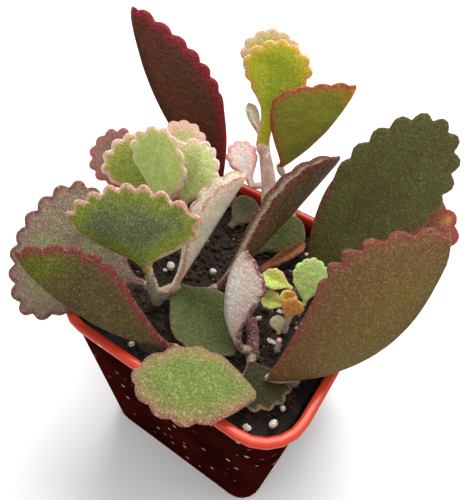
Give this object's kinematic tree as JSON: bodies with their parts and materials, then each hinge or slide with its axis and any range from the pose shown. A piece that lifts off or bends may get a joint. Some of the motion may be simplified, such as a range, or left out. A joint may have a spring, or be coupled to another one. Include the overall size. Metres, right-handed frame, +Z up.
{
  "type": "potted succulent",
  "caption": "Clump of young felted succulents with scalloped, partly folded leaves in a small square tapered nursery pot filled with compost.",
  "frame": {"origin": "centre of the underside of the pot", "axes": "+Z up, the pot's sides along X and Y, -Y the side the plant is usually seen from"},
  "size_m": [0.0946, 0.0957, 0.1053],
  "materials": {
    "pot": "thin moulded terracotta-coloured plastic, satin, a brighter lip",
    "soil": "damp dark compost with fibres",
    "stem": "felted young stem",
    "leaf_green": "fleshy leaf with a fine felt of hairs",
    "leaf_olive": "fleshy leaf with a fine felt of hairs",
    "leaf_purple": "fleshy leaf with a fine felt of hairs",
    "leaf_pale": "fleshy leaf with a fine felt of hairs",
    "leaf_wine": "fleshy leaf with a fine felt of hairs",
    "stem_pink": "felted young stem",
    "leaf_lime": "fleshy leaf with a fine felt of hairs",
    "leaf_pink": "fleshy leaf with a fine felt of hairs",
    "leaf_dark": "fleshy leaf with a fine felt of hairs",
    "stem_red": "felted young stem",
    "leaf_dry": "fleshy leaf with a fine felt of hairs",
    "perlite": "matt cream mineral grain"
  },
  "bodies": {
    "root": {"pot": "pot", "soil": "soil", "stem_a": "stem", "leaf_a1": "leaf_green", "leaf_a2": "leaf_olive", "leaf_a3": "leaf_purple", "leaf_a4": "leaf_pale", "stem_a2": "stem", "stem_b": "stem", "leaf_b1": "leaf_green", "leaf_b2": "leaf_pale", "leaf_b3": "leaf_pale", "leaf_b4": "leaf_pale", "leaf_b5": "leaf_purple", "stem_c": "stem", "leaf_c": "leaf_wine", "stem_d": "stem_pink", "stem_d2": "stem_pink", "leaf_d1": "leaf_lime", "leaf_d2": "leaf_lime", "leaf_d3": "leaf_olive", "leaf_d4": "leaf_pink", "leaf_d5": "leaf_pale", "stem_e": "stem", "leaf_e": "leaf_dark", "stem_f": "stem_red", "leaf_f1": "leaf_purple", "leaf_f2": "leaf_dark", "stem_g": "stem_pink", "stem_g2": "stem_pink", "leaf_g1": "leaf_lime", "leaf_g2": "leaf_lime", "leaf_g3": "leaf_lime", "leaf_g4": "leaf_lime", "leaf_g5": "leaf_pale", "leaf_g6": "leaf_pale", "stem_h1": "stem", "leaf_h1": "leaf_dark", "leaf_h3": "leaf_wine", "stem_h2": "stem", "leaf_h2": "leaf_purple", "leaf_i1": "leaf_green", "leaf_i2": "leaf_dark", "leaf_k1": "leaf_green", "leaf_k2": "leaf_dark", "leaf_k3": "leaf_dry", "perlite_1": "perlite", "perlite_2": "perlite", "perlite_3": "perlite", "perlite_4": "perlite", "perlite_5": "perlite", "perlite_6": "perlite", "perlite_7": "perlite", "perlite_8": "perlite", "perlite_9": "perlite"}
  },
  "joints": []
}
